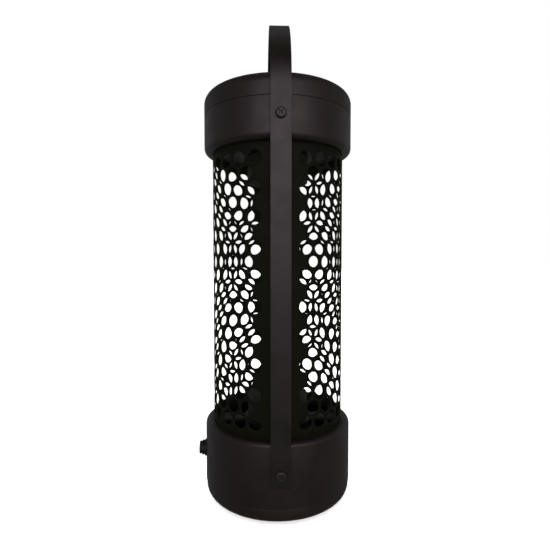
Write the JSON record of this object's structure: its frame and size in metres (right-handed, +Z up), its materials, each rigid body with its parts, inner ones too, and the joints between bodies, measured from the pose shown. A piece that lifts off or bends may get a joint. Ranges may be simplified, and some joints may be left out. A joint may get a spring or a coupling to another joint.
{
  "type": "electric bug zapper",
  "caption": "Upright cylindrical insect killer: perforated sheet cage round an ultraviolet lamp and high-voltage rod grid, round base and cap, steel strap handle over the top.",
  "frame": {"origin": "centre of the footprint, on the floor the feet stand on", "axes": "+Z up along the cage's axis, -Y out of the front strap leg, -X out of the cable gland"},
  "size_m": [0.1364, 0.1394, 0.41],
  "materials": {
    "housing_plastic": "satin",
    "tray_plastic": "satin",
    "lid_plastic": "satin",
    "foot_rubber": "matt",
    "cage_sheet": "satin",
    "strap_steel": "satin",
    "screw_black": "satin",
    "zinc_steel": "satin",
    "hub_plastic": "matt",
    "socket_plastic": "gloss",
    "lamp_glass": "gloss",
    "lamp_cap_alu": "satin",
    "pin_brass": "satin",
    "grid_steel": "satin",
    "ring_brass": "satin",
    "pod_plastic": "matt",
    "board_laminate": "satin",
    "capacitor_film": "gloss",
    "diode_epoxy": "satin",
    "ferrite": "matt",
    "terminal_nylon": "satin",
    "fuse_glass": "gloss",
    "gland_nylon": "satin",
    "core_steel": "satin",
    "coil_wire": "gloss",
    "starter_can": "satin",
    "wire_red": "satin",
    "wire_pale": "satin"
  },
  "bodies": {
    "frame": {"base_housing": "housing_plastic", "deck_plate": "housing_plastic", "cage_tube": "cage_sheet", "cap_band": "housing_plastic", "strap_handle": "strap_steel", "strap_screws_lower": "screw_black", "strap_screws_upper": "screw_black", "strap_nuts": "zinc_steel", "lower_hub": "hub_plastic", "upper_hub": "hub_plastic", "lower_lamp_socket": "socket_plastic", "upper_lamp_socket": "socket_plastic", "lamp_glass": "lamp_glass", "lamp_end_caps": "lamp_cap_alu", "lamp_pins": "pin_brass", "grid_rods_live": "grid_steel", "grid_rods_return": "grid_steel", "live_ring": "ring_brass", "return_ring": "ring_brass", "upper_lead_tube": "grid_steel", "supply_pod": "pod_plastic", "core_screws": "zinc_steel", "upper_hub_screws": "zinc_steel", "circuit_board": "board_laminate", "hv_capacitors": "capacitor_film", "diode_chain": "diode_epoxy", "hv_transformer": "ferrite", "terminal_block": "terminal_nylon", "fuse": "fuse_glass", "cord_gland": "gland_nylon", "gland_nut": "gland_nylon", "lead_conduit": "pod_plastic", "choke_core": "core_steel", "choke_coil": "coil_wire", "choke_screws": "zinc_steel", "glow_starter": "starter_can", "starter_socket": "socket_plastic", "mains_leads": "wire_red", "lamp_leads": "wire_pale"},
    "tray": {"catch_tray": "tray_plastic", "feet": "foot_rubber"},
    "lid": {"lid": "lid_plastic"}
  },
  "joints": [
    {"name": "tray_pull", "type": "slide", "parent": "frame", "child": "tray", "axis": [0, 0, -1], "range_m": [0, 0.04]},
    {"name": "lid_twist", "type": "hinge", "parent": "frame", "child": "lid", "pos_m": [0, 0, 0.34], "axis": [0, 0, 1], "range_deg": [0, 30]}
  ]
}
